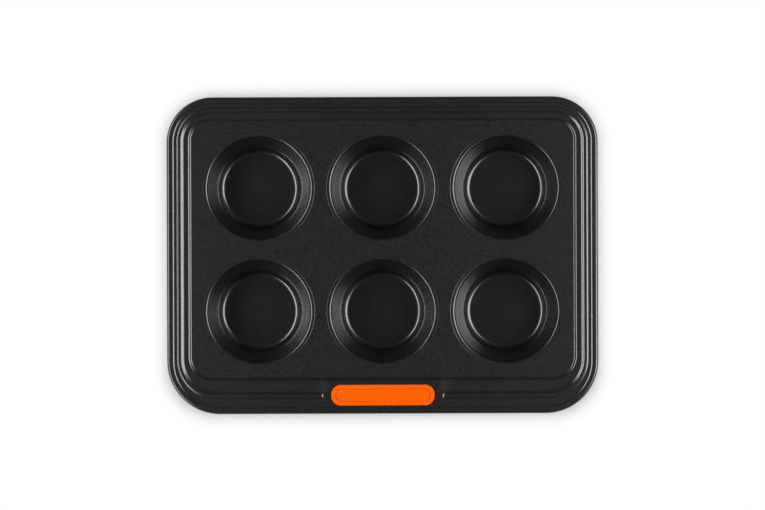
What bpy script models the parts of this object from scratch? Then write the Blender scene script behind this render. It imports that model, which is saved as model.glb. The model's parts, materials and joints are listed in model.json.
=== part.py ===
"""A six-cup muffin pan: one pressed steel sheet, its edge curled over a wire, with a silicone grip
clipped through the wider front rim.

Metres, +Z up. The origin is under the middle of the pan, on the plane that the cups stand on, and the
rim that holds the grip faces -Y.
"""

import math
from collections import namedtuple

import bmesh
import bpy
from mathutils import Vector

# The sheet. Its sizes below are those of the upper, coated face.
SHEET = 0.0007

# The cups
CUP_COLUMNS = 3
CUP_ROWS = 2
WEB = 0.0112  # deck between the mouths of two neighbours
CUP_DEPTH = 0.034
MOUTH_RADIUS = 0.0375
MOUTH_ROUND = 0.0022
FLOOR_RADIUS = 0.0238  # where the floor is flat
FLOOR_FILLET = 0.0047

# The collar pressed round each mouth
COLLAR_WIDTH = 0.0013
COLLAR_SLOPE = 0.0004
COLLAR_SINK = 0.0001

# The deck that carries the cups
DECK_SIDE_MARGIN = 0.009  # from the outer mouths to the foot of the rim
DECK_END_MARGIN = 0.0083
DECK_BACK_CORNER = 0.0125
DECK_FRONT_CORNER = 0.0143

# The rim, from its outer edge to the deck
OUTLINE_BACK_CORNER = 0.032
OUTLINE_FRONT_CORNER = 0.037
BAND_WIDTH = 0.004  # flat top of the curled edge
BAND_SLOPE = 0.00135
BAND_RISE = 0.0004  # over the outer land
OUTER_LAND = 0.0019
BEAD_OUTER_SLOPE = 0.0008
BEAD_CREST = 0.001
BEAD_FRONT_CREST = 0.0015  # along the rim that holds the grip
BEAD_INNER_SLOPE = 0.0039
BEAD_RISE = 0.0003  # over the outer land
INNER_LAND = 0.0012
INNER_LAND_RISE = 0.0016  # over the deck
OUTER_LAND_RISE = 0.0009  # over the inner land
STEP_WIDTH = 0.0034  # slope from the inner land to the deck
STEP_SKEW = 1.4  # over 1, the slope is steeper towards the deck

# The curled edge and its wire
CURL_RADIUS = 0.00185
CURL_SWEEP = math.radians(270)
WIRE_CLEARANCE = 0.0003

# The silicone grip
GRIP_LENGTH = 0.0726
GRIP_WIDTH = 0.015
GRIP_END_FLAT = 0.001  # straight stretch across each end
GRIP_BAND_GAP = 0.00025  # from the curled band's foot to the lip
GRIP_STEP_GAP = 0.0016  # from the lip to the step down to the deck
GRIP_CLEARANCE = 0.0003
LIP_THICKNESS = 0.0013
LIP_EDGE = 0.0005
LIP_SEAT = 0.0024  # how far the lip covers the sheet round the slot
PANEL_BORDER = 0.003
PANEL_SINK = 0.0006
PANEL_FILLET = 0.0003
FLANGE_THICKNESS = 0.0012
FLANGE_INSET = 0.0004  # the hidden flange is this much smaller than the lip, all round

# The bead's ends beside the grip
BEAD_GAP = 0.0052
BEAD_DOME = 0.0023
BEAD_CREST_SHARE = 0.5  # the crest's share of the half dome that ends the bead
BEAD_OFFSET = 0.0009  # from the grip's middle to the crest's, towards the edge
SEAT_BLEND = 0.035  # over this length the inner land rises to the flat seat of the grip

# Facets
CUP_SEGMENTS = 28
ARC_SEGMENTS = 4
CORNER_SEGMENTS = 7
DOME_SEGMENTS = 3
SEAT_SEGMENTS = 4
STEP_SEGMENTS = 4
SLOPE_SEGMENTS = 2
BEAD_SLOPE_SEGMENTS = 3
CURL_SEGMENTS = 9
GRIP_CORNER_SEGMENTS = 6

# What follows from the sizes above
CUP_PITCH = 2 * MOUTH_RADIUS + WEB
COLLAR_RADIUS = MOUTH_RADIUS + COLLAR_WIDTH
BAND_FOOT = BAND_WIDTH + BAND_SLOPE
GRIP_CORNER = (GRIP_WIDTH - GRIP_END_FLAT) / 2
GRIP_LINE = BAND_FOOT + GRIP_BAND_GAP + GRIP_WIDTH / 2  # its middle, from the front edge
FRONT_CREST = GRIP_LINE - BEAD_OFFSET
FRONT_STEP = GRIP_LINE + GRIP_WIDTH / 2 + GRIP_STEP_GAP
SIDE_CREST = BAND_FOOT + OUTER_LAND + BEAD_OUTER_SLOPE + BEAD_CREST / 2
SIDE_STEP = SIDE_CREST + BEAD_CREST / 2 + BEAD_INNER_SLOPE + INNER_LAND
SIDE_RIM = SIDE_STEP + STEP_WIDTH
FRONT_RIM = FRONT_STEP + STEP_WIDTH
HALF_WIDTH = (CUP_COLUMNS - 1) * CUP_PITCH / 2 + MOUTH_RADIUS + DECK_SIDE_MARGIN + SIDE_RIM
HALF_DECK_DEPTH = (CUP_ROWS - 1) * CUP_PITCH / 2 + MOUTH_RADIUS + DECK_END_MARGIN
HALF_DEPTH = HALF_DECK_DEPTH + (SIDE_RIM + FRONT_RIM) / 2
GRID_Y = (FRONT_RIM - SIDE_RIM) / 2
GRIP_Y = GRIP_LINE - HALF_DEPTH

FLOOR_Z = SHEET
DECK_Z = FLOOR_Z + CUP_DEPTH
INNER_LAND_Z = DECK_Z + INNER_LAND_RISE
OUTER_LAND_Z = INNER_LAND_Z + OUTER_LAND_RISE
BAND_Z = OUTER_LAND_Z + BAND_RISE
CURL_Z = BAND_Z - CURL_RADIUS
WIRE_RADIUS = CURL_RADIUS - SHEET - WIRE_CLEARANCE

# How far apart points may lie and still be one
WELD = 0.00001
SCREW_WELD = 0.0001
CUTTER_REACH = 0.002

# One line of the rim that runs round the pan: its distances from the outer edge at the sides and back and
# at the front, its height without the bead and at the grip's flat seat, and how far across the bead it
# lies, from -1 and 1 at the bead's two feet to 0 on its crest.
Station = namedtuple("Station", "side front land seat across")


def arc(centre, radius, start, end, segments):
    """Points (u, v) along a circular arc, both ends included. Angles are in radians."""
    angles = [start + (end - start) * i / segments for i in range(segments + 1)]
    return [
        (centre[0] + radius * math.cos(angle), centre[1] + radius * math.sin(angle))
        for angle in angles
    ]


def smooth(t):
    """0 to 1 along an S, level at both ends."""
    return (1 - math.cos(math.pi * min(max(t, 0.0), 1.0))) / 2


def collection_named(name):
    collection = bpy.data.collections.new(name)
    bpy.context.scene.collection.children.link(collection)
    return collection


def material_named(name, colour, roughness, metallic=0.0):
    material = bpy.data.materials.new(name)
    material.use_nodes = True
    shader = material.node_tree.nodes["Principled BSDF"]
    shader.inputs["Base Color"].default_value = (*colour, 1.0)
    shader.inputs["Roughness"].default_value = roughness
    shader.inputs["Metallic"].default_value = metallic
    return material


def object_from(bm, name, collection):
    mesh = bpy.data.meshes.new(name)
    bm.to_mesh(mesh)
    bm.free()
    made = bpy.data.objects.new(name, mesh)
    collection.objects.link(made)
    return made


def evaluated_mesh(source):
    """The object's mesh with its modifiers, as a mesh of its own. The object is removed."""
    graph = bpy.context.evaluated_depsgraph_get()
    mesh = bpy.data.meshes.new_from_object(source.evaluated_get(graph))
    bpy.data.objects.remove(source)
    return mesh


def link_cutter(cutter, collection):
    collection.objects.link(cutter)
    cutter.hide_render = True
    cutter.display_type = "WIRE"


def add_boolean(target, operation, other):
    modifier = target.modifiers.new(operation.title(), "BOOLEAN")
    modifier.operation = operation
    modifier.object = other
    modifier.solver = "EXACT"


def add_bevel(target, width, segments):
    modifier = target.modifiers.new("Rounded edges", "BEVEL")
    modifier.width = width
    modifier.segments = segments
    modifier.limit_method = "ANGLE"
    modifier.angle_limit = math.radians(50)


# The cup: a profile turned about the cup's own axis

def wall_angle():
    """Turn of the mouth's round before it runs into the wall: that wall touches both its arcs."""
    run = MOUTH_RADIUS - FLOOR_RADIUS
    drop = (CUP_DEPTH - COLLAR_SINK - MOUTH_ROUND) - FLOOR_FILLET
    slant = math.hypot(run, drop)
    return math.atan2(drop, run) + math.asin((MOUTH_ROUND + FLOOR_FILLET) / slant)


def cup_profile():
    """(radius, height) from the deck down into the cup and along its floor to the axis."""
    collar_z = DECK_Z - COLLAR_SINK
    turn = wall_angle()
    level = math.pi / 2
    mouth = arc((MOUTH_RADIUS, collar_z - MOUTH_ROUND), MOUTH_ROUND, level, level + turn, ARC_SEGMENTS)
    fillet = arc((FLOOR_RADIUS, FLOOR_Z + FLOOR_FILLET), FLOOR_FILLET, turn - level, -level, ARC_SEGMENTS)
    deck_edge = (COLLAR_RADIUS + COLLAR_SLOPE, DECK_Z)
    return [deck_edge, (COLLAR_RADIUS, collar_z), *mouth, *fillet, (0.0, FLOOR_Z)]


def turned_cup(collection):
    """The upper face of one cup as a mesh, round the origin."""
    bm = bmesh.new()
    points = [bm.verts.new((radius, 0.0, height)) for radius, height in cup_profile()]
    for upper, lower in zip(points, points[1:]):
        bm.edges.new((upper, lower))
    cup = object_from(bm, "cup_profile", collection)
    screw = cup.modifiers.new("Turn", "SCREW")
    screw.axis = "Z"
    screw.steps = CUP_SEGMENTS
    screw.render_steps = CUP_SEGMENTS
    screw.use_merge_vertices = True
    screw.merge_threshold = SCREW_WELD
    return evaluated_mesh(cup)


def cup_centres():
    first_x = -(CUP_COLUMNS - 1) * CUP_PITCH / 2
    first_y = GRID_Y - (CUP_ROWS - 1) * CUP_PITCH / 2
    return [
        Vector((first_x + column * CUP_PITCH, first_y + row * CUP_PITCH, 0))
        for row in range(CUP_ROWS)
        for column in range(CUP_COLUMNS)
    ]


# The rim: a loft of rounded rectangles that differ in size, corners and height

def slope(side, front, width, land, seat, segments, across=(1.0, 1.0), skew=1.0):
    """Stations going outwards along an S-shaped slope. land and seat are (inner, outer) heights, and a
    skew over 1 draws the steep part to the inner end."""
    stations = []
    for i in range(segments + 1):
        t = i / segments
        climb = 1 - smooth((1 - t) ** skew)
        land_z, seat_z = [inner + (outer - inner) * climb for inner, outer in (land, seat)]
        place = across[0] + (across[1] - across[0]) * t
        stations.append(Station(side - width * t, front - width * t, land_z, seat_z, place))
    return stations


def rim_stations():
    """From the deck's edge outwards, over the curled edge and round the wire to the curl's lip."""
    seat = (OUTER_LAND_Z, OUTER_LAND_Z)
    side_half, front_half = BEAD_CREST / 2, BEAD_FRONT_CREST / 2
    stations = slope(
        SIDE_RIM, FRONT_RIM, STEP_WIDTH, (DECK_Z, INNER_LAND_Z), (DECK_Z, OUTER_LAND_Z), STEP_SEGMENTS,
        skew=STEP_SKEW,
    )
    stations += slope(
        SIDE_CREST + side_half + BEAD_INNER_SLOPE, FRONT_CREST + front_half + BEAD_INNER_SLOPE,
        BEAD_INNER_SLOPE, (INNER_LAND_Z, OUTER_LAND_Z), seat, BEAD_SLOPE_SEGMENTS, (1.0, BEAD_CREST_SHARE),
    )
    stations += slope(
        SIDE_CREST - side_half, FRONT_CREST - front_half, BEAD_OUTER_SLOPE, seat, seat, SLOPE_SEGMENTS,
        (-BEAD_CREST_SHARE, -1.0),
    )
    band = (OUTER_LAND_Z, BAND_Z)
    stations += slope(BAND_FOOT, BAND_FOOT, BAND_SLOPE, band, band, SLOPE_SEGMENTS)
    top = math.pi / 2
    for inwards, height in arc((CURL_RADIUS, CURL_Z), CURL_RADIUS, top, top + CURL_SWEEP, CURL_SEGMENTS):
        stations.append(Station(inwards, inwards, height, height, 1.0))
    return stations


def bead_share(across, before_end):
    """How much of the bead's height a point has. Its end is a half dome: before_end is 0 at the dome's
    tip and 1 where the bead has its full section."""
    reach = math.hypot(across, 1 - min(before_end, 1.0))
    return smooth((1 - reach) / (1 - BEAD_CREST_SHARE))


def front_places():
    """The places along the front, from the middle of the grip's end to +X, where seat and bead change."""
    seat_end = GRIP_LENGTH / 2
    dome = seat_end + BEAD_GAP
    places = [seat_end + SEAT_BLEND * i / SEAT_SEGMENTS for i in range(SEAT_SEGMENTS + 1)]
    places += [dome + BEAD_DOME * i / DOME_SEGMENTS for i in range(DOME_SEGMENTS + 1)]
    return sorted(places)


def corner_radius(outer, inner, share):
    return outer + (inner - outer) * share


def rounded_rectangle(side, front):
    """The corner arcs of the line at these distances from the outer edge, from the front right round."""
    share = (side + front) / (SIDE_RIM + FRONT_RIM)
    front_radius = corner_radius(OUTLINE_FRONT_CORNER, DECK_FRONT_CORNER, share)
    back_radius = corner_radius(OUTLINE_BACK_CORNER, DECK_BACK_CORNER, side / SIDE_RIM)
    right, back, near = HALF_WIDTH - side, HALF_DEPTH - side, front - HALF_DEPTH
    quarter = math.pi / 2
    corners = (
        ((right - front_radius, near + front_radius), front_radius, -quarter),
        ((right - back_radius, back - back_radius), back_radius, 0.0),
        ((back_radius - right, back - back_radius), back_radius, quarter),
        ((front_radius - right, near + front_radius), front_radius, 2 * quarter),
    )
    points = []
    for centre, radius, start in corners:
        points += arc(centre, radius, start, start + quarter, CORNER_SEGMENTS)
    return points


def rim_line(station):
    """One station's points (x, y, z), anticlockwise seen from above."""
    near = station.front - HALF_DEPTH
    half = []
    for x in front_places():
        past_seat = x - GRIP_LENGTH / 2
        height = station.seat + (station.land - station.seat) * smooth(past_seat / SEAT_BLEND)
        before_end = (past_seat - BEAD_GAP) / BEAD_DOME
        half.append((x, near, height + BEAD_RISE * bead_share(station.across, before_end)))
    left = [(-x, y, z) for x, y, z in reversed(half)]
    height = station.land + BEAD_RISE * bead_share(station.across, 1.0)
    return left + half + [(x, y, height) for x, y in rounded_rectangle(station.side, station.front)]


def add_rim(bm):
    """Lofts the rim's upper face into bm. Returns the edges of its innermost line, the deck's own."""
    lines = [[bm.verts.new(point) for point in rim_line(station)] for station in rim_stations()]
    for inner, outer in zip(lines, lines[1:]):
        for i in range(len(inner)):
            after = (i + 1) % len(inner)
            bm.faces.new((inner[i], outer[i], outer[after], inner[after]))
    deck_line = lines[0]
    return [bm.edges.get((deck_line[i - 1], deck_line[i])) for i in range(len(deck_line))]


def add_cup(bm, cup_mesh, centre):
    """Adds one cup to bm. Returns the edges where it meets the deck."""
    known = set(bm.verts)
    bm.from_mesh(cup_mesh)
    added = [vert for vert in bm.verts if vert not in known]
    bmesh.ops.translate(bm, verts=added, vec=centre)
    return [edge for vert in added for edge in vert.link_edges if edge.is_boundary]


def make_pan_body(pieces, slot_cutter):
    """The pressed sheet: its upper face is built open, then given the sheet's thickness."""
    cup_mesh = turned_cup(pieces)
    bm = bmesh.new()
    deck_edges = set(add_rim(bm))
    for centre in cup_centres():
        deck_edges.update(add_cup(bm, cup_mesh, centre))
    bmesh.ops.triangle_fill(bm, edges=list(deck_edges), use_beauty=True, normal=(0, 0, 1))
    bmesh.ops.recalc_face_normals(bm, faces=bm.faces)
    if sum(face.normal.z * face.calc_area() for face in bm.faces) < 0:
        bmesh.ops.reverse_faces(bm, faces=bm.faces)
    body = object_from(bm, "pan_body", pieces)
    solidify = body.modifiers.new("Sheet", "SOLIDIFY")
    solidify.thickness = SHEET
    solidify.offset = -1
    solidify.use_even_offset = True
    add_boolean(body, "DIFFERENCE", slot_cutter)
    body.data.shade_smooth()
    body.data.set_sharp_from_angle(angle=math.radians(40))
    body.data.materials.append(material_named("non_stick_coating", (0.018, 0.018, 0.019), 0.38))
    return body


def make_rim_wire(pieces):
    """The wire that the edge is curled round."""
    curve = bpy.data.curves.new("rim_wire", "CURVE")
    curve.dimensions = "3D"
    curve.bevel_depth = WIRE_RADIUS
    curve.bevel_resolution = 2
    spline = curve.splines.new("POLY")
    points = rounded_rectangle(CURL_RADIUS, CURL_RADIUS)
    spline.points.add(len(points) - 1)
    for point, (x, y) in zip(spline.points, points):
        point.co = (x, y, CURL_Z, 1)
    spline.use_cyclic_u = True
    wire = bpy.data.objects.new("rim_wire", curve)
    pieces.objects.link(wire)
    curve.materials.append(material_named("zinc_plated_wire", (0.45, 0.45, 0.46), 0.35, 1.0))
    return wire


# The grip: flat outlines of one shape, joined

def grip_plate(name, inset, low, high, collection):
    """A plate with the grip's outline drawn in by inset, between two heights, as a mesh object."""
    half_length, half_width = GRIP_LENGTH / 2 - inset, GRIP_WIDTH / 2 - inset
    radius = GRIP_CORNER - inset
    points = []
    for quarter, (along, across) in enumerate(((1, 1), (-1, 1), (-1, -1), (1, -1))):
        centre = (along * (half_length - radius), across * (half_width - radius))
        start = quarter * math.pi / 2
        points += arc(centre, radius, start, start + math.pi / 2, GRIP_CORNER_SEGMENTS)
    curve = bpy.data.curves.new(name, "CURVE")
    curve.dimensions = "2D"
    curve.fill_mode = "BOTH"
    curve.extrude = (high - low) / 2
    spline = curve.splines.new("POLY")
    spline.points.add(len(points) - 1)
    for point, (x, y) in zip(spline.points, points):
        point.co = (x, y, 0, 1)
    spline.use_cyclic_u = True
    outline = bpy.data.objects.new(name, curve)
    collection.objects.link(outline)
    bm = bmesh.new()
    bm.from_mesh(evaluated_mesh(outline))
    bmesh.ops.remove_doubles(bm, verts=bm.verts, dist=WELD)
    bmesh.ops.translate(bm, verts=bm.verts, vec=(0, GRIP_Y, (low + high) / 2))
    mesh = bpy.data.meshes.new(name)
    bm.to_mesh(mesh)
    bm.free()
    return bpy.data.objects.new(name, mesh)


def make_slot_cutter(cutters):
    reach = CUTTER_REACH + SHEET
    cutter = grip_plate("slot_cutter", LIP_SEAT, OUTER_LAND_Z - reach, OUTER_LAND_Z + reach, cutters)
    link_cutter(cutter, cutters)
    return cutter


def make_silicone_grip(pieces, cutters):
    """One moulding: a lip on the rim, a neck through the slot, and a flange that holds it from below."""
    lip_low = OUTER_LAND_Z + GRIP_CLEARANCE
    lip_high = lip_low + LIP_THICKNESS
    flange_high = OUTER_LAND_Z - SHEET - GRIP_CLEARANCE
    flange_low = flange_high - FLANGE_THICKNESS
    neck_low = (flange_low + flange_high) / 2
    panel_z = lip_high - PANEL_SINK
    neck_high = (lip_low + panel_z) / 2

    grip = grip_plate("silicone_grip", 0.0, lip_low, lip_high, cutters)
    pieces.objects.link(grip)
    neck = grip_plate("neck", LIP_SEAT + GRIP_CLEARANCE, neck_low, neck_high, cutters)
    link_cutter(neck, cutters)
    flange = grip_plate("flange", FLANGE_INSET, flange_low, flange_high, cutters)
    link_cutter(flange, cutters)
    panel_cutter = grip_plate("panel_cutter", PANEL_BORDER, panel_z, lip_high + CUTTER_REACH, cutters)
    link_cutter(panel_cutter, cutters)

    add_bevel(grip, LIP_EDGE, 2)
    add_bevel(flange, LIP_EDGE, 1)
    add_bevel(panel_cutter, PANEL_FILLET, 1)
    add_boolean(grip, "UNION", neck)
    add_boolean(grip, "UNION", flange)
    add_boolean(grip, "DIFFERENCE", panel_cutter)
    grip.data.shade_smooth()
    grip.data.set_sharp_from_angle(angle=math.radians(40))
    grip.data.materials.append(material_named("orange_silicone", (1.0, 0.14, 0.0), 0.55))
    return grip


def main():
    for leftover in list(bpy.data.objects):
        bpy.data.objects.remove(leftover)
    pieces = collection_named("muffin_pan")
    cutters = collection_named("cutters")
    cutters.hide_render = True
    slot_cutter = make_slot_cutter(cutters)
    make_pan_body(pieces, slot_cutter)
    make_rim_wire(pieces)
    make_silicone_grip(pieces, cutters)


main()
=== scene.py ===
"""The looks of a six-cup muffin pan: its pressed and coated sheet, the silicone grip in its front rim and
the wire in its curled edge, on a pale floor between two soft boxes.

Metres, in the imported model's own frame: +Z up, and the rim that holds the grip faces -Y.
"""

import json
import math
from collections import namedtuple

import bmesh
import bpy
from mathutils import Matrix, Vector


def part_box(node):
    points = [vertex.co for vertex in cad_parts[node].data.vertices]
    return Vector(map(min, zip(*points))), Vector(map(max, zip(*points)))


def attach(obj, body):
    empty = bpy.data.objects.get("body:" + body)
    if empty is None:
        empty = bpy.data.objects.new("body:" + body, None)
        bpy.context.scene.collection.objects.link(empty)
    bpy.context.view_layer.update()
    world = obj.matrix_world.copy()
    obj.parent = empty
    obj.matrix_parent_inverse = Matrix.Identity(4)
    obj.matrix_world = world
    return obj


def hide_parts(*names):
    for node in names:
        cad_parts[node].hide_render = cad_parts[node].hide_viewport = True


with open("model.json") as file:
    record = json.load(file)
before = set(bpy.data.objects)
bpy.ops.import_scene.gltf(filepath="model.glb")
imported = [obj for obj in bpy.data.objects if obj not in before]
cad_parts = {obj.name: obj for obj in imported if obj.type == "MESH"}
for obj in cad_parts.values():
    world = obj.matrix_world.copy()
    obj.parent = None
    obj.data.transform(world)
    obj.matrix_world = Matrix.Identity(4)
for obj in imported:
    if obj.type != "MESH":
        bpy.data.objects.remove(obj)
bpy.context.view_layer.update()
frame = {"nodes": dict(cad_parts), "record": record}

# Places read from the frame
PAN_LOW, PAN_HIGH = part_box("pan_body")
GRIP_LOW, GRIP_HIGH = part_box("silicone_grip")
CUP_FLOORS = [
    Vector(mount["pos_m"])
    for mount in frame["record"]["mounts"]
    if mount["name"].startswith("cup_floor")
]
HALF_WIDTH = PAN_HIGH.x
HALF_DEPTH = PAN_HIGH.y
BAND_Z = PAN_HIGH.z
FLOOR_Z = CUP_FLOORS[0].z
SHEET = FLOOR_Z - PAN_LOW.z
GRIP_Y = (GRIP_LOW.y + GRIP_HIGH.y) / 2
GRIP_LENGTH = GRIP_HIGH.x - GRIP_LOW.x
GRIP_WIDTH = GRIP_HIGH.y - GRIP_LOW.y

# The cups
MOUTH_RADIUS = 0.0375
MOUTH_ROUND = 0.0022
FLOOR_RADIUS = 0.0238  # where the floor is flat
FLOOR_FILLET = 0.0047

# The collar pressed round each mouth
COLLAR_WIDTH = 0.0013
COLLAR_SLOPE = 0.00025
COLLAR_SINK = 0.00006

# The rim, from its outer edge to the deck
OUTLINE_BACK_CORNER = 0.032
OUTLINE_FRONT_CORNER = 0.037
DECK_BACK_CORNER = 0.0125
DECK_FRONT_CORNER = 0.0143
BAND_WIDTH = 0.00385  # from the outer edge over the curl and the flat top
BAND_SLOPE = 0.0016
BAND_RISE = 0.00055  # over the outer land
OUTER_LAND = 0.0015
BEAD_OUTER_SLOPE = 0.0012
BEAD_CREST = 0.001
BEAD_FRONT_CREST = 0.0015  # along the rim that holds the grip
BEAD_INNER_SLOPE = 0.0026
LAND_SLOPE = 0.004  # from the crest down to the inner land, under the bead's own slope
BEAD_RISE = 0.0004  # over the outer land
BEAD_FRONT_RISE = 0.00055  # along the rim that holds the grip
INNER_LAND = 0.0008
INNER_LAND_RISE = 0.0015  # over the deck
OUTER_LAND_RISE = 0.00105  # over the inner land
STEP_WIDTH = 0.0034  # slope from the inner land to the deck
STEP_SKEW = 1.4  # over 1, the slope is steeper towards the deck
CURL_RADIUS = 0.00185
CURL_SWEEP = math.radians(270)

# The bead's ends beside the grip, and the flat seat under it
GRIP_STEP_GAP = 0.0016  # from the grip to the step down to the deck
BEAD_GAP = 0.0049  # from the grip's end to the bead's
BEAD_DOME = 0.0023  # length of the half dome that ends the bead
BEAD_CREST_SHARE = 0.42  # the level crest's share of the way from the bead's middle to its foot
BEAD_OFFSET = 0.00075  # from the grip's middle to the crest's, towards the edge
SEAT_BLEND = 0.012  # over this length from the grip's end the flat seat falls to the inner land

# The grip
GRIP_END_FLAT = 0.001  # straight stretch across each end
LIP_INSET = 0.0003  # how far the lip stays inside the grip's outline
LIP_EDGE = 0.0005  # rounding of the lip's upper edge and the flange's lower one
LIP_THICKNESS = 0.0013
LIP_SEAT = 0.0024  # from the grip's outline to the slot
GRIP_CLEARANCE = 0.0003
PANEL_BORDER = 0.003
PANEL_SINK = 0.0009
PANEL_SLOPE = 0.0005
FLANGE_THICKNESS = 0.0012
FLANGE_INSET = 0.0004  # how far the hidden flange stays inside the grip's outline
SLOT_CUT = 0.002  # how far the slot's cutter reaches above and below the sheet's face

# How finely the shapes are divided
CUP_SEGMENTS = 128
ARC_SEGMENTS = 10
SLOPE_SEGMENTS = 8
LAND_SEGMENTS = 17
CORNER_SEGMENTS = 24
CURL_SEGMENTS = 24
DOME_SEGMENTS = 12
SEAT_SEGMENTS = 10
HOLD = 0.0003  # a narrow flat strip beside a slope keeps the slope's shading off the flat
SHARP_ANGLE = math.radians(50)  # edges that turn by more than this stay crisp

# Points that are nearer to each other than this are welded into one
SAME_POINT = 0.000001
CUP_WELD = 0.00001
SHEET_WELD = 0.000002

AT_DECK = 0.00001  # an open edge this near to the deck's height bounds the deck

# What follows from the sizes above
OUTER_LAND_Z = BAND_Z - BAND_RISE
INNER_LAND_Z = OUTER_LAND_Z - OUTER_LAND_RISE
DECK_Z = INNER_LAND_Z - INNER_LAND_RISE
CURL_Z = BAND_Z - CURL_RADIUS
BAND_FOOT = BAND_WIDTH + BAND_SLOPE
GRIP_LINE = GRIP_Y + HALF_DEPTH
SIDE_CREST = BAND_FOOT + OUTER_LAND + BEAD_OUTER_SLOPE + BEAD_CREST / 2
FRONT_CREST = GRIP_LINE - BEAD_OFFSET
SIDE_STEP = SIDE_CREST + BEAD_CREST / 2 + LAND_SLOPE + INNER_LAND
FRONT_STEP = GRIP_LINE + GRIP_WIDTH / 2 + GRIP_STEP_GAP
SIDE_RIM = SIDE_STEP + STEP_WIDTH
FRONT_RIM = FRONT_STEP + STEP_WIDTH
COLLAR_RADIUS = MOUTH_RADIUS + COLLAR_WIDTH

# One line of the rim that runs round the pan: how far it lies from the outer edge at the sides and the
# back, the same at the front, its height on the land and on the grip's flat seat, both without the bead,
# and how far across the bead it lies, from -1 and 1 at the bead's two feet to 0 in the middle of its crest
Station = namedtuple("Station", "side front land seat across")


def smooth(t):
    """0 to 1 along an S, level at both ends."""
    return (1 - math.cos(math.pi * min(max(t, 0.0), 1.0))) / 2


def arc(centre, radius, start, end, segments):
    """Points (u, v) along a circular arc, both ends included."""
    angles = [start + (end - start) * i / segments for i in range(segments + 1)]
    return [
        (centre[0] + radius * math.cos(angle), centre[1] + radius * math.sin(angle))
        for angle in angles
    ]


def object_from(bm, name):
    mesh = bpy.data.meshes.new(name)
    bm.to_mesh(mesh)
    bm.free()
    made = bpy.data.objects.new(name, mesh)
    bpy.context.scene.collection.objects.link(made)
    return made


def made_plain(source, name):
    """The evaluated object as an object with a plain mesh of its own. The source is removed."""
    graph = bpy.context.evaluated_depsgraph_get()
    mesh = bpy.data.meshes.new_from_object(source.evaluated_get(graph))
    bpy.data.objects.remove(source)
    mesh.name = name
    made = bpy.data.objects.new(name, mesh)
    bpy.context.scene.collection.objects.link(made)
    return made


# The cup

def wall_angle():
    """Turn of the mouth's round before it runs into the straight wall."""
    run = MOUTH_RADIUS - FLOOR_RADIUS
    drop = (DECK_Z - FLOOR_Z - COLLAR_SINK - MOUTH_ROUND) - FLOOR_FILLET
    slant = math.hypot(run, drop)
    return math.atan2(drop, run) + math.asin((MOUTH_ROUND + FLOOR_FILLET) / slant)


def cup_profile():
    """(radius, height) from the deck over the collar, down the wall and along the floor to the axis."""
    collar_z = DECK_Z - COLLAR_SINK
    turn = wall_angle()
    level = math.pi / 2
    points = [(COLLAR_RADIUS + COLLAR_SLOPE + HOLD, DECK_Z)]
    for i in range(SLOPE_SEGMENTS + 1):
        t = i / SLOPE_SEGMENTS
        points.append((COLLAR_RADIUS + COLLAR_SLOPE * (1 - t), DECK_Z - COLLAR_SINK * smooth(t)))
    points += arc((MOUTH_RADIUS, collar_z - MOUTH_ROUND), MOUTH_ROUND, level, level + turn, ARC_SEGMENTS)
    points += arc((FLOOR_RADIUS, FLOOR_Z + FLOOR_FILLET), FLOOR_FILLET, turn - level, -level, ARC_SEGMENTS)
    points += [(FLOOR_RADIUS - HOLD, FLOOR_Z), (0.0, FLOOR_Z)]
    return points


def make_cup():
    """The upper face of one cup, turned about its own axis."""
    bm = bmesh.new()
    points = [bm.verts.new((radius, 0.0, height)) for radius, height in cup_profile()]
    for upper, lower in zip(points, points[1:]):
        bm.edges.new((upper, lower))
    outline = object_from(bm, "cup_outline")
    screw = outline.modifiers.new("Turn", "SCREW")
    screw.steps = CUP_SEGMENTS
    screw.render_steps = CUP_SEGMENTS
    screw.use_merge_vertices = True
    screw.merge_threshold = CUP_WELD
    cup = made_plain(outline, "cup")
    bm = bmesh.new()
    bm.from_mesh(cup.data)
    bmesh.ops.recalc_face_normals(bm, faces=bm.faces)
    if sum(face.normal.z for face in bm.faces) < 0:
        bmesh.ops.reverse_faces(bm, faces=bm.faces)
    bm.to_mesh(cup.data)
    bm.free()
    return cup


# The rim: a loft of rounded rectangles that differ in size, corners and height

def slope(
    side, front, width, land, seat, across=(1.0, 1.0), share=1.0, skew=1.0, segments=SLOPE_SEGMENTS,
):
    """Stations going outwards along an S-shaped slope. land and seat are (inner, outer) heights. across
    runs its course over the last share of the slope, and a skew over 1 draws the steep part to the inner
    end."""
    stations = []
    for i in range(segments + 1):
        t = i / segments
        climb = 1 - smooth((1 - t) ** skew)
        land_z, seat_z = [inner + (outer - inner) * climb for inner, outer in (land, seat)]
        place = across[1] + (across[0] - across[1]) * min((1 - t) / share, 1.0)
        stations.append(Station(side - width * t, front - width * t, land_z, seat_z, place))
    return stations


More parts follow.
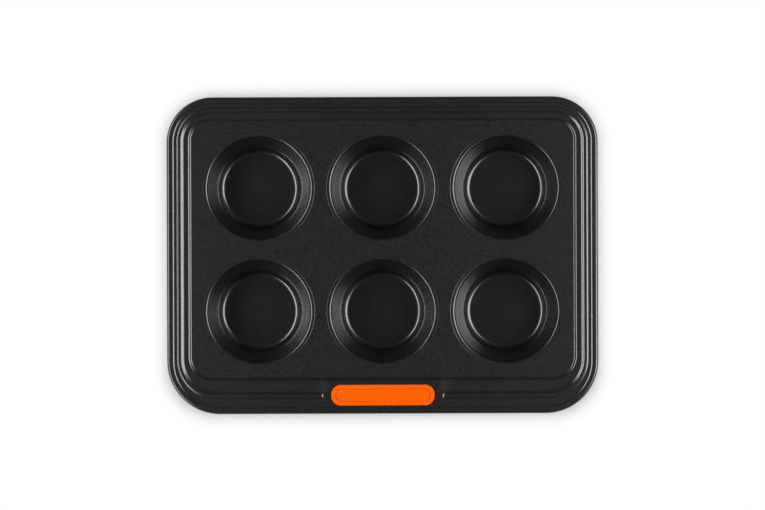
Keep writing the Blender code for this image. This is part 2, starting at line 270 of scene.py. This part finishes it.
def rim_stations():
    """From the deck's edge outwards, over the curled edge and round to the curl's lip."""
    seat = (OUTER_LAND_Z, OUTER_LAND_Z)
    side_half, front_half = BEAD_CREST / 2, BEAD_FRONT_CREST / 2
    stations = [Station(SIDE_RIM + HOLD, FRONT_RIM + HOLD, DECK_Z, DECK_Z, 1.0)]
    stations += slope(
        SIDE_RIM, FRONT_RIM, STEP_WIDTH, (DECK_Z, INNER_LAND_Z), (DECK_Z, OUTER_LAND_Z), skew=STEP_SKEW,
    )
    stations += slope(
        SIDE_CREST + side_half + LAND_SLOPE, FRONT_CREST + front_half + LAND_SLOPE, LAND_SLOPE,
        (INNER_LAND_Z, OUTER_LAND_Z), seat, (1.0, BEAD_CREST_SHARE), BEAD_INNER_SLOPE / LAND_SLOPE,
        segments=LAND_SEGMENTS,
    )
    stations.append(Station(SIDE_CREST, FRONT_CREST, OUTER_LAND_Z, OUTER_LAND_Z, 0.0))
    stations += slope(
        SIDE_CREST - side_half, FRONT_CREST - front_half, BEAD_OUTER_SLOPE, seat, seat,
        (-BEAD_CREST_SHARE, -1.0),
    )
    band = (OUTER_LAND_Z, BAND_Z)
    stations += slope(BAND_FOOT, BAND_FOOT, BAND_SLOPE, band, band)
    top = math.pi / 2
    for inwards, height in arc((CURL_RADIUS, CURL_Z), CURL_RADIUS, top, top + CURL_SWEEP, CURL_SEGMENTS):
        stations.append(Station(inwards, inwards, height, height, 1.0))
    return stations


def bead_share(across, before_end):
    """How much of the bead's height a point has. Its end is a half dome: before_end is 0 at the dome's
    tip and 1 where the bead has its full section."""
    reach = math.hypot(across, 1 - min(before_end, 1.0))
    return smooth((1 - reach) / (1 - BEAD_CREST_SHARE))


def front_places():
    """The places along the front, from the grip's end towards +X, where its seat or the bead changes."""
    seat_end = GRIP_LENGTH / 2
    dome = seat_end + BEAD_GAP
    places = [seat_end + SEAT_BLEND * i / SEAT_SEGMENTS for i in range(SEAT_SEGMENTS + 1)]
    places += [dome + BEAD_DOME * i / DOME_SEGMENTS for i in range(DOME_SEGMENTS + 1)]
    return sorted(places)


def corner_radius(outer, inner, share):
    """The corner radius of a line that lies this share of the way from the outer edge to the deck."""
    return outer + (inner - outer) * share


def rounded_rectangle(side, front):
    """The corner arcs of the line at these distances from the outer edge, anticlockwise from the front
    right one."""
    share = (side + front) / (SIDE_RIM + FRONT_RIM)
    front_radius = corner_radius(OUTLINE_FRONT_CORNER, DECK_FRONT_CORNER, share)
    back_radius = corner_radius(OUTLINE_BACK_CORNER, DECK_BACK_CORNER, side / SIDE_RIM)
    right, back, near = HALF_WIDTH - side, HALF_DEPTH - side, front - HALF_DEPTH
    quarter = math.pi / 2
    corners = (
        ((right - front_radius, near + front_radius), front_radius, -quarter),
        ((right - back_radius, back - back_radius), back_radius, 0.0),
        ((back_radius - right, back - back_radius), back_radius, quarter),
        ((front_radius - right, near + front_radius), front_radius, 2 * quarter),
    )
    points = []
    for centre, radius, start in corners:
        points += arc(centre, radius, start, start + quarter, CORNER_SEGMENTS)
    return points


def rim_line(station):
    """One station's points (x, y, z), anticlockwise seen from above."""
    near = station.front - HALF_DEPTH
    half = []
    for x in front_places():
        past_seat = x - GRIP_LENGTH / 2
        height = station.seat + (station.land - station.seat) * smooth(past_seat / SEAT_BLEND)
        before_end = (past_seat - BEAD_GAP) / BEAD_DOME
        half.append((x, near, height + BEAD_FRONT_RISE * bead_share(station.across, before_end)))
    left = [(-x, y, z) for x, y, z in reversed(half)]
    height = station.land + BEAD_RISE * bead_share(station.across, 1.0)
    return left + half + [(x, y, height) for x, y in rounded_rectangle(station.side, station.front)]


def make_rim():
    """The rim's upper face as a loft through its stations."""
    bm = bmesh.new()
    lines = [[bm.verts.new(point) for point in rim_line(station)] for station in rim_stations()]
    for inner, outer in zip(lines, lines[1:]):
        for i in range(len(inner)):
            after = (i + 1) % len(inner)
            bm.faces.new((inner[i], outer[i], outer[after], inner[after]))
    bmesh.ops.remove_doubles(bm, verts=bm.verts, dist=SAME_POINT)
    return object_from(bm, "rim")


# The sheet: cups on a grid, the rim round them and the deck between

def new_tree(name, sockets):
    """A geometry tree whose inputs are a geometry and the named sockets, with one geometry output."""
    tree = bpy.data.node_groups.new(name, "GeometryNodeTree")
    for label, kind in (("Geometry", "NodeSocketGeometry"), *sockets):
        tree.interface.new_socket(label, in_out="INPUT", socket_type=kind)
    tree.interface.new_socket("Geometry", in_out="OUTPUT", socket_type="NodeSocketGeometry")
    return tree


def add_node(tree, kind, inputs=None, **settings):
    """A node with its settings, and each input either linked to an output socket or set to a value."""
    node = tree.nodes.new(kind)
    for name, value in settings.items():
        setattr(node, name, value)
    for key, value in (inputs or {}).items():
        if isinstance(value, bpy.types.NodeSocket):
            tree.links.new(value, node.inputs[key])
        else:
            node.inputs[key].default_value = value
    return node


def maths(tree, operation, *inputs):
    """The result of one Math node."""
    return add_node(tree, "ShaderNodeMath", dict(enumerate(inputs)), operation=operation).outputs[0]


def sheet_tree():
    """Cups on a grid, joined to the rim that comes in. Their open edges at the deck's height bound the
    deck, which is filled in between."""
    tree = new_tree("pressed_sheet", (
        ("Cup", "NodeSocketObject"),
        ("Columns", "NodeSocketInt"),
        ("Rows", "NodeSocketInt"),
        ("Pitch", "NodeSocketVector"),
        ("Centre", "NodeSocketVector"),
        ("Deck height", "NodeSocketFloat"),
        ("Coating", "NodeSocketMaterial"),
    ))
    given = add_node(tree, "NodeGroupInput").outputs
    pitch = add_node(tree, "ShaderNodeSeparateXYZ", {0: given["Pitch"]}).outputs
    grid = add_node(tree, "GeometryNodeMeshGrid", {
        "Size X": maths(tree, "MULTIPLY", pitch["X"], maths(tree, "SUBTRACT", given["Columns"], 1.0)),
        "Size Y": maths(tree, "MULTIPLY", pitch["Y"], maths(tree, "SUBTRACT", given["Rows"], 1.0)),
        "Vertices X": given["Columns"],
        "Vertices Y": given["Rows"],
    })
    places = add_node(tree, "GeometryNodeTransform", {
        "Geometry": grid.outputs["Mesh"], "Translation": given["Centre"],
    })
    cup = add_node(tree, "GeometryNodeObjectInfo", {"Object": given["Cup"]})
    cups = add_node(tree, "GeometryNodeInstanceOnPoints", {
        "Points": places.outputs["Geometry"], "Instance": cup.outputs["Geometry"],
    })
    real_cups = add_node(tree, "GeometryNodeRealizeInstances", {0: cups.outputs["Instances"]})
    pressed = add_node(tree, "GeometryNodeJoinGeometry", {0: given["Geometry"]})
    tree.links.new(real_cups.outputs[0], pressed.inputs[0])

    faces = add_node(tree, "GeometryNodeInputMeshEdgeNeighbors").outputs["Face Count"]
    position = add_node(tree, "GeometryNodeInputPosition").outputs["Position"]
    height = add_node(tree, "ShaderNodeSeparateXYZ", {0: position}).outputs["Z"]
    at_deck = maths(tree, "COMPARE", height, given["Deck height"], AT_DECK)
    is_open = maths(tree, "LESS_THAN", faces, 2.0)
    bounds = add_node(tree, "GeometryNodeMeshToCurve", {
        "Mesh": pressed.outputs["Geometry"], "Selection": maths(tree, "MULTIPLY", at_deck, is_open),
    })
    fill = add_node(tree, "GeometryNodeFillCurve", {"Curve": bounds.outputs["Curve"]})
    lift = add_node(tree, "ShaderNodeCombineXYZ", {"Z": given["Deck height"]})
    deck = add_node(tree, "GeometryNodeTransform", {
        "Geometry": fill.outputs["Mesh"], "Translation": lift.outputs["Vector"],
    })
    whole = add_node(tree, "GeometryNodeJoinGeometry", {0: pressed.outputs["Geometry"]})
    tree.links.new(deck.outputs["Geometry"], whole.inputs[0])
    welded = add_node(tree, "GeometryNodeMergeByDistance", {
        "Geometry": whole.outputs["Geometry"], "Distance": SHEET_WELD,
    })
    real = add_node(tree, "GeometryNodeRealizeInstances", {0: welded.outputs["Geometry"]})
    coated = add_node(tree, "GeometryNodeSetMaterial", {
        "Geometry": real.outputs["Geometry"], "Material": given["Coating"],
    })
    add_node(tree, "NodeGroupOutput", {"Geometry": coated.outputs["Geometry"]})
    return tree


def add_tree(target, tree, values):
    """Adds the tree as a modifier with its named inputs set."""
    modifier = target.modifiers.new(tree.name, "NODES")
    modifier.node_group = tree
    for item in tree.interface.items_tree:
        if item.in_out == "INPUT" and item.name in values:
            modifier[item.identifier] = values[item.name]


def grid_steps(axis):
    """How many cups stand along one axis, and how far apart."""
    places = sorted({round(floor[axis], 6) for floor in CUP_FLOORS})
    return len(places), (places[-1] - places[0]) / (len(places) - 1)


def make_pan(coating):
    """The pressed sheet: cups and rim in one face, thickened downwards, with the slot for the grip."""
    cup = make_cup()
    columns, pitch_x = grid_steps(0)
    rows, pitch_y = grid_steps(1)
    middle = sum(CUP_FLOORS, Vector()) / len(CUP_FLOORS)
    sheet = make_rim()
    add_tree(sheet, sheet_tree(), {
        "Cup": cup,
        "Columns": columns,
        "Rows": rows,
        "Pitch": (pitch_x, pitch_y, 0.0),
        "Centre": (middle.x, middle.y, 0.0),
        "Deck height": DECK_Z,
        "Coating": coating,
    })
    solidify = sheet.modifiers.new("Sheet", "SOLIDIFY")
    solidify.thickness = SHEET
    solidify.offset = -1
    solidify.use_even_offset = True
    slot = slot_cutter()
    cut = sheet.modifiers.new("Slot", "BOOLEAN")
    cut.operation = "DIFFERENCE"
    cut.solver = "EXACT"
    cut.object = slot
    pan = made_plain(sheet, "pressed_pan")
    bpy.data.objects.remove(slot)
    bpy.data.objects.remove(cup)
    pan.data.shade_smooth()
    pan.data.set_sharp_from_angle(angle=SHARP_ANGLE)
    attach(pan, "root")
    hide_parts("pan_body")
    return pan


# The grip

def grip_outline(inset):
    """The grip's outline drawn in by inset, as points (x, y)."""
    half_length, half_width = GRIP_LENGTH / 2 - inset, GRIP_WIDTH / 2 - inset
    radius = (GRIP_WIDTH - GRIP_END_FLAT) / 2 - inset
    points = []
    for quarter, (along, across) in enumerate(((1, 1), (-1, 1), (-1, -1), (1, -1))):
        centre = (along * (half_length - radius), GRIP_Y + across * (half_width - radius))
        start = quarter * math.pi / 2
        points += arc(centre, radius, start, start + math.pi / 2, CORNER_SEGMENTS)
    return points


def loft_outlines(levels, name):
    """A closed body through the grip's outline at each level (inset, height), bottom to top."""
    bm = bmesh.new()
    lines = [[bm.verts.new((x, y, z)) for x, y in grip_outline(inset)] for inset, z in levels]
    for lower, upper in zip(lines, lines[1:]):
        for i in range(len(lower)):
            after = (i + 1) % len(lower)
            bm.faces.new((lower[i], lower[after], upper[after], upper[i]))
    bm.faces.new(reversed(lines[0]))
    bm.faces.new(lines[-1])
    bmesh.ops.remove_doubles(bm, verts=bm.verts, dist=SAME_POINT)
    return object_from(bm, name)


def slot_cutter():
    """A body in the slot's outline that reaches through the sheet."""
    ends = (OUTER_LAND_Z - SLOT_CUT, OUTER_LAND_Z + SLOT_CUT)
    return loft_outlines([(LIP_SEAT, height) for height in ends], "slot")


def make_grip(rubber):
    """One moulding: the flange below the sheet, the neck in the slot and the lip with its sunken panel."""
    lip_low = OUTER_LAND_Z + GRIP_CLEARANCE
    lip_high = lip_low + LIP_THICKNESS
    flange_high = OUTER_LAND_Z - SHEET - GRIP_CLEARANCE
    flange_low = flange_high - FLANGE_THICKNESS
    neck = LIP_SEAT + GRIP_CLEARANCE
    flange_edge = (FLANGE_INSET + LIP_EDGE, flange_low + LIP_EDGE)
    lip_edge = (LIP_INSET + LIP_EDGE, lip_high - LIP_EDGE)
    quarter = math.pi / 2
    levels = [(FLANGE_INSET + LIP_EDGE + HOLD, flange_low)]
    levels += arc(flange_edge, LIP_EDGE, -quarter, -2 * quarter, ARC_SEGMENTS)
    levels += [(FLANGE_INSET, flange_high), (neck, flange_high), (neck, lip_low), (LIP_INSET, lip_low)]
    levels += arc(lip_edge, LIP_EDGE, 2 * quarter, quarter, ARC_SEGMENTS)
    levels.append((LIP_INSET + LIP_EDGE + HOLD, lip_high))
    for i in range(SLOPE_SEGMENTS + 1):
        t = i / SLOPE_SEGMENTS
        levels.append((PANEL_BORDER + PANEL_SLOPE * t, lip_high - PANEL_SINK * smooth(t)))
    levels.append((PANEL_BORDER + PANEL_SLOPE + HOLD, lip_high - PANEL_SINK))
    grip = loft_outlines(levels, "grip_moulding")
    grip.data.shade_smooth()
    grip.data.set_sharp_from_angle(angle=SHARP_ANGLE)
    grip.data.materials.append(rubber)
    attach(grip, "root")
    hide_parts("silicone_grip")
    return grip


# Finishes

# One layer of grain: how large its spots are, and how much finer noise lies on top
Grain = namedtuple("Grain", "size detail")
NOISE_ROUGHNESS = 0.6
NOISE_SPREAD = 0.25  # how far the noise strays from its middle value of a half

COATING_SHADES = ((0.001, 0.001, 0.001), (0.009, 0.009, 0.0092))
COATING_FLECKS = Grain(0.0012, 1.0)
COATING_HAZE = Grain(0.001, 1.0)
COATING_ROUGHNESS = (0.34, 0.62)
COATING_HAZE_SPREAD = 0.17
COATING_BUMPS = Grain(0.0007, 2.0)
COATING_BUMP_DEPTH = 0.0000019
COATING_IOR = 1.34
FILM_ROUGHNESS = 0.12
FILM_IOR = 1.63

SILICONE_SHADES = ((0.86, 0.105, 0.0), (0.89, 0.119, 0.0))
SILICONE_CLOUDS = Grain(0.003, 3.0)
SILICONE_BLOOM = Grain(0.0008, 2.0)
SILICONE_ROUGHNESS = (0.42, 0.5)
SILICONE_PORES = Grain(0.0005, 2.0)
SILICONE_PORE_DEPTH = 0.000006
SILICONE_IOR = 1.42
SILICONE_SHINE = 0.06

ZINC_SHADES = ((0.36, 0.37, 0.38), (0.52, 0.52, 0.53))
ZINC_SPANGLES = Grain(0.0012, 4.0)
ZINC_RUB = Grain(0.0006, 3.0)
ZINC_ROUGHNESS = (0.3, 0.48)
ZINC_PITS = Grain(0.0004, 3.0)
ZINC_PIT_DEPTH = 0.000008


def new_material(name):
    """An empty material and its tree, with a Principled BSDF linked to the output."""
    material = bpy.data.materials.new(name)
    material.use_nodes = True
    tree = material.node_tree
    tree.nodes.clear()
    shader = add_node(tree, "ShaderNodeBsdfPrincipled")
    add_node(tree, "ShaderNodeOutputMaterial", {"Surface": shader.outputs["BSDF"]})
    return material, tree, shader


def noise(tree, grain):
    """Noise on object coordinates."""
    place = add_node(tree, "ShaderNodeTexCoord").outputs["Object"]
    return add_node(tree, "ShaderNodeTexNoise", {
        "Vector": place, "Scale": 1 / grain.size, "Detail": grain.detail, "Roughness": NOISE_ROUGHNESS,
    }).outputs["Fac"]


def varied(tree, grain, low=0.0, high=1.0, spread=NOISE_SPREAD):
    """Noise stretched about its middle value to run from low to high."""
    return add_node(tree, "ShaderNodeMapRange", {
        "Value": noise(tree, grain), "From Min": 0.5 - spread, "From Max": 0.5 + spread,
        "To Min": low, "To Max": high,
    }).outputs["Result"]


def add_shades(tree, shader, grain, shades):
    """A base colour that varies between two shades. The Mix node has its colours in inputs 6 and 7 and in
    output 2."""
    mix = add_node(tree, "ShaderNodeMix", {"Factor": varied(tree, grain)}, data_type="RGBA")
    for place, shade in zip((6, 7), shades):
        mix.inputs[place].default_value = (*shade, 1.0)
    tree.links.new(mix.outputs[2], shader.inputs["Base Color"])


def add_bump(tree, shader, grain, depth):
    bump = add_node(tree, "ShaderNodeBump", {
        "Height": noise(tree, grain), "Distance": depth, "Strength": 1.0,
    })
    tree.links.new(bump.outputs["Normal"], shader.inputs["Normal"])


def coating_material():
    """Satin black non-stick coating: a glossy film over a dull dark grain that gives the flats a haze."""
    material, tree, shader = new_material("non_stick_coating")
    add_shades(tree, shader, COATING_FLECKS, COATING_SHADES)
    haze = varied(tree, COATING_HAZE, *COATING_ROUGHNESS, COATING_HAZE_SPREAD)
    tree.links.new(haze, shader.inputs["Roughness"])
    shader.inputs["IOR"].default_value = COATING_IOR
    shader.inputs["Coat Weight"].default_value = 1.0
    shader.inputs["Coat Roughness"].default_value = FILM_ROUGHNESS
    shader.inputs["Coat IOR"].default_value = FILM_IOR
    add_bump(tree, shader, COATING_BUMPS, COATING_BUMP_DEPTH)
    return material


def silicone_material():
    """Matt orange silicone, faintly clouded."""
    material, tree, shader = new_material("orange_silicone")
    add_shades(tree, shader, SILICONE_CLOUDS, SILICONE_SHADES)
    bloom = varied(tree, SILICONE_BLOOM, *SILICONE_ROUGHNESS)
    tree.links.new(bloom, shader.inputs["Roughness"])
    shader.inputs["IOR"].default_value = SILICONE_IOR
    shader.inputs["Specular IOR Level"].default_value = SILICONE_SHINE
    add_bump(tree, shader, SILICONE_PORES, SILICONE_PORE_DEPTH)
    return material


def zinc_material():
    """Dull zinc plating with a spangle of lighter and darker grey."""
    material, tree, shader = new_material("zinc_plated_wire")
    add_shades(tree, shader, ZINC_SPANGLES, ZINC_SHADES)
    rub = varied(tree, ZINC_RUB, *ZINC_ROUGHNESS)
    tree.links.new(rub, shader.inputs["Roughness"])
    shader.inputs["Metallic"].default_value = 1.0
    add_bump(tree, shader, ZINC_PITS, ZINC_PIT_DEPTH)
    return material


# The studio

PHOTO_WIDTH = 0.5332  # what the photograph's width covers on the deck
CAMERA_HEIGHT = 2.8  # over the deck
CAMERA_X = 0.00002
CAMERA_Y = 0.00014
CAMERA_TURN = math.radians(-0.2)
SENSOR_WIDTH = 36.0  # in millimetres, as the lens is
FAR_CLIP = 50.0

FLOOR_REACH = 6.0  # from the middle to each edge
FLOOR_BOUNCE = 0.7  # the grey that light bounces off towards the pan
FLOOR_MATT = 0.12  # the grey that is seen near the pan and takes its shadow
FLOOR_GLOW = 0.475  # the light that is added to that grey
# Painted shadow: near the pan the floor is grey, and it turns white by distance from the outline, not by
# the light
PAINTED_SHADOW_REACH = 0.0135  # how far from the pan's outline the floor turns white
PAINTED_SHADOW_FALL = 2.1  # over 1, it turns white sooner

HORIZON_TOP = math.radians(0.5)  # the world is white up to this angle over the horizon
ROOM_FOOT = math.radians(3)  # and dark from this one upwards
ROOM_GLOW = 0.05

# One soft box: where it starts and ends along x and y, its radiance, and how much of each of its edges,
# as a share of the whole length, fades out
SoftBox = namedtuple("SoftBox", "name low high radiance fade")
LAMP_HEIGHT = 0.7
SOFT_BOXES = (
    SoftBox("left_box", (-0.95, -1.0), (-0.465, 0.72), 7.3, (0.05, 0.25)),
    SoftBox("right_box", (0.31, -0.49), (1.45, 0.49), 7.0, (0.19, 0.3)),
)


def add_soft_box(box):
    """A lamp that faces down and fades out towards its edges. The camera doesn't see it."""
    data = bpy.data.lights.new(box.name, "AREA")
    data.shape = "RECTANGLE"
    data.size = box.high[0] - box.low[0]
    data.size_y = box.high[1] - box.low[1]
    data.energy = box.radiance * math.pi * data.size * data.size_y
    data.use_nodes = True
    tree = data.node_tree
    tree.nodes.clear()
    place = add_node(tree, "ShaderNodeNewGeometry").outputs["Parametric"]
    along = add_node(tree, "ShaderNodeSeparateXYZ", {0: place}).outputs
    shares = []
    for axis, fade in zip("XY", box.fade):
        to_end = maths(tree, "PINGPONG", along[axis], 0.5)
        shares.append(add_node(tree, "ShaderNodeMapRange", {
            "Value": to_end, "From Min": 0.0, "From Max": fade,
        }, interpolation_type="SMOOTHSTEP").outputs["Result"])
    strength = maths(tree, "MULTIPLY", shares[0], shares[1])
    glow = add_node(tree, "ShaderNodeEmission", {"Strength": strength})
    add_node(tree, "ShaderNodeOutputLight", {"Surface": glow.outputs[0]})
    lamp = bpy.data.objects.new(box.name, data)
    lamp.location = ((box.low[0] + box.high[0]) / 2, (box.low[1] + box.high[1]) / 2, LAMP_HEIGHT)
    lamp.visible_camera = False
    bpy.context.scene.collection.objects.link(lamp)


def matt_grey(tree, level):
    return add_node(tree, "ShaderNodeBsdfDiffuse", {"Color": (level, level, level, 1.0)}).outputs[0]


def white_light(tree, strength):
    return add_node(tree, "ShaderNodeEmission", {
        "Color": (1.0, 1.0, 1.0, 1.0), "Strength": strength,
    }).outputs[0]


def mixed(tree, share, first, second):
    return add_node(tree, "ShaderNodeMixShader", {0: share, 1: first, 2: second}).outputs[0]


def painted_shadow_share(tree):
    """A share that falls from 1 at the pan's outline to 0 where the painted shadow ends. It paints a
    shadow round the pan by distance from the outline, whatever the light.
    """

    def vectors(operation, *inputs):
        return add_node(tree, "ShaderNodeVectorMath", dict(enumerate(inputs)), operation=operation).outputs

    corner = Vector((HALF_WIDTH - OUTLINE_BACK_CORNER, HALF_DEPTH - OUTLINE_BACK_CORNER, 0.0))
    place = add_node(tree, "ShaderNodeTexCoord").outputs["Object"]
    side = vectors("ABSOLUTE", place)["Vector"]
    past = vectors("SUBTRACT", side, corner)["Vector"]
    outside = vectors("MAXIMUM", past, Vector())["Vector"]
    distance = vectors("LENGTH", outside)["Value"]
    share = add_node(tree, "ShaderNodeMapRange", {
        "Value": distance,
        "From Min": OUTLINE_BACK_CORNER, "From Max": OUTLINE_BACK_CORNER + PAINTED_SHADOW_REACH,
        "To Min": 1.0, "To Max": 0.0,
    }).outputs["Result"]
    return maths(tree, "POWER", share, PAINTED_SHADOW_FALL)


def add_floor():
    """A pale floor. Near the pan it is a grey that keeps the pan's real shadow, and it fades into plain
    white by distance from the outline, which paints a shadow round the pan; further off it is plain white.
    Seen from below it is clear."""
    bm = bmesh.new()
    bmesh.ops.create_grid(bm, x_segments=1, y_segments=1, size=FLOOR_REACH)
    floor = object_from(bm, "floor")
    material = bpy.data.materials.new("pale_floor")
    material.use_nodes = True
    tree = material.node_tree
    tree.nodes.clear()
    shaded = add_node(tree, "ShaderNodeAddShader", {
        0: matt_grey(tree, FLOOR_MATT), 1: white_light(tree, FLOOR_GLOW),
    }).outputs[0]
    # Painted shadow round the pan: the lit grey near the outline blends into plain white by distance
    seen = mixed(tree, painted_shadow_share(tree), white_light(tree, 1.0), shaded)
    ray = add_node(tree, "ShaderNodeLightPath").outputs
    direct = maths(tree, "MAXIMUM", ray["Is Camera Ray"], ray["Is Glossy Ray"])
    direct = maths(tree, "MAXIMUM", direct, ray["Is Transmission Ray"])
    above = mixed(tree, direct, matt_grey(tree, FLOOR_BOUNCE), seen)
    is_below = add_node(tree, "ShaderNodeNewGeometry").outputs["Backfacing"]
    clear = add_node(tree, "ShaderNodeBsdfTransparent").outputs[0]
    add_node(tree, "ShaderNodeOutputMaterial", {"Surface": mixed(tree, is_below, above, clear)})
    floor.data.materials.append(material)


def add_world():
    """White up to just over the horizon, and a dark room above, which the pan's flats mirror."""
    world = bpy.data.worlds.new("studio")
    bpy.context.scene.world = world
    world.use_nodes = True
    tree = world.node_tree
    tree.nodes.clear()
    direction = add_node(tree, "ShaderNodeTexCoord").outputs["Generated"]
    up = add_node(tree, "ShaderNodeSeparateXYZ", {0: direction}).outputs["Z"]
    light = add_node(tree, "ShaderNodeMapRange", {
        "Value": up, "From Min": math.sin(HORIZON_TOP), "From Max": math.sin(ROOM_FOOT),
        "To Min": 1.0, "To Max": ROOM_GLOW,
    }).outputs["Result"]
    background = add_node(tree, "ShaderNodeBackground", {
        "Color": (1.0, 1.0, 1.0, 1.0), "Strength": light,
    })
    add_node(tree, "ShaderNodeOutputWorld", {"Surface": background.outputs[0]})


def add_camera():
    """Looks straight down at the deck from high above it."""
    data = bpy.data.cameras.new("camera")
    data.sensor_width = SENSOR_WIDTH
    data.lens = SENSOR_WIDTH * CAMERA_HEIGHT / PHOTO_WIDTH
    data.clip_end = FAR_CLIP
    camera = bpy.data.objects.new("camera", data)
    camera.location = (CAMERA_X, CAMERA_Y, DECK_Z + CAMERA_HEIGHT)
    camera.rotation_euler = (0.0, 0.0, CAMERA_TURN)
    bpy.context.scene.collection.objects.link(camera)
    bpy.context.scene.camera = camera


def main():
    make_pan(coating_material())
    make_grip(silicone_material())
    wire = frame["nodes"]["rim_wire"]
    wire.data.materials.clear()
    wire.data.materials.append(zinc_material())
    for box in SOFT_BOXES:
        add_soft_box(box)
    add_floor()
    add_world()
    add_camera()
    bpy.context.scene.view_settings.view_transform = "Standard"


main()
